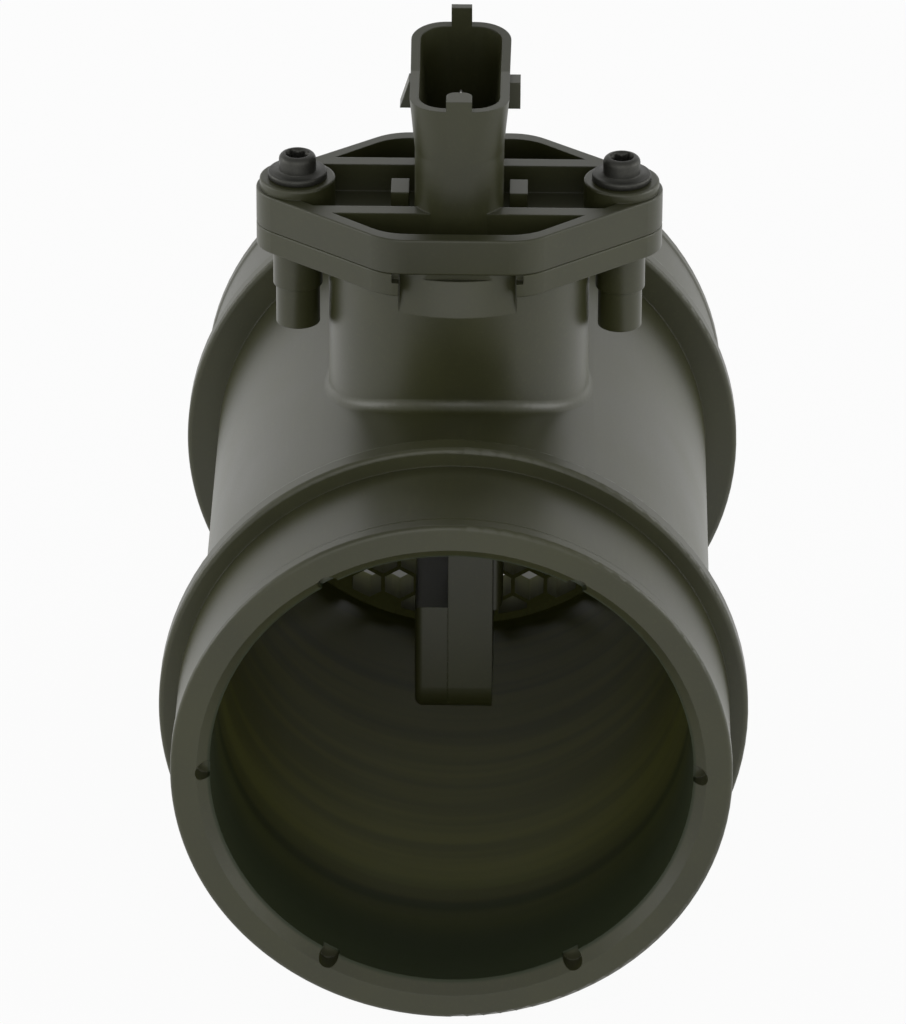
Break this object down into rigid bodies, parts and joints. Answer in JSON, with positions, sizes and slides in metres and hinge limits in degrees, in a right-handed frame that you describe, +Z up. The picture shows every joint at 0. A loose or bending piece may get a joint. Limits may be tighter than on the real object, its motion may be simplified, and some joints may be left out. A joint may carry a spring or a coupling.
{
  "type": "mass airflow sensor",
  "caption": "Hot-film air mass sensor module plugged into a round moulded intake duct with hose spigots, stop collars and an upright connector.",
  "frame": {"origin": "centre of the duct's outlet face, on the duct axis", "axes": "+Y along the duct axis from the outlet to the inlet, +Z up through the plug-in module and its connector, +X to the right of someone who looks into the outlet"},
  "size_m": [0.085, 0.128, 0.127],
  "materials": {
    "duct_plastic": "moulded glass-filled nylon, fine matt grain",
    "module_plastic": "moulded glass-filled polyester, satin",
    "cover_plastic": "moulded, satin",
    "grid_plastic": "moulded, matt",
    "seal_rubber": "smooth fluorosilicone rubber",
    "aluminium_sheet": "rolled sheet",
    "ceramic_board": "fired ceramic, matt",
    "chip_black": "moulded epoxy",
    "capacitor_body": "fired ceramic",
    "carrier_plastic": "moulded, matt",
    "silicon": "polished silicon",
    "thermistor_bead": "glazed bead on tinned leads",
    "sleeve_steel": "plated, turned",
    "screw_black": "dark zinc-flake coat",
    "terminal_tin": "tin-plated bronze strip"
  },
  "bodies": {
    "root": {"tube_housing": "duct_plastic", "flow_grid": "grid_plastic", "grid_retaining_ring": "grid_plastic", "sensor_housing": "module_plastic", "plug_seal": "seal_rubber", "electronics_cover": "cover_plastic", "channel_cover": "cover_plastic", "base_plate": "aluminium_sheet", "hybrid_board": "ceramic_board", "signal_chip": "chip_black", "capacitor_1": "capacitor_body", "capacitor_2": "capacitor_body", "sensor_carrier": "carrier_plastic", "sensing_chip": "silicon", "air_thermistor": "thermistor_bead", "clamp_sleeve_left": "sleeve_steel", "clamp_sleeve_right": "sleeve_steel", "flange_screw_left": "screw_black", "flange_screw_right": "screw_black", "terminal_1": "terminal_tin", "terminal_2": "terminal_tin", "terminal_3": "terminal_tin", "terminal_4": "terminal_tin", "terminal_5": "terminal_tin"}
  },
  "joints": []
}
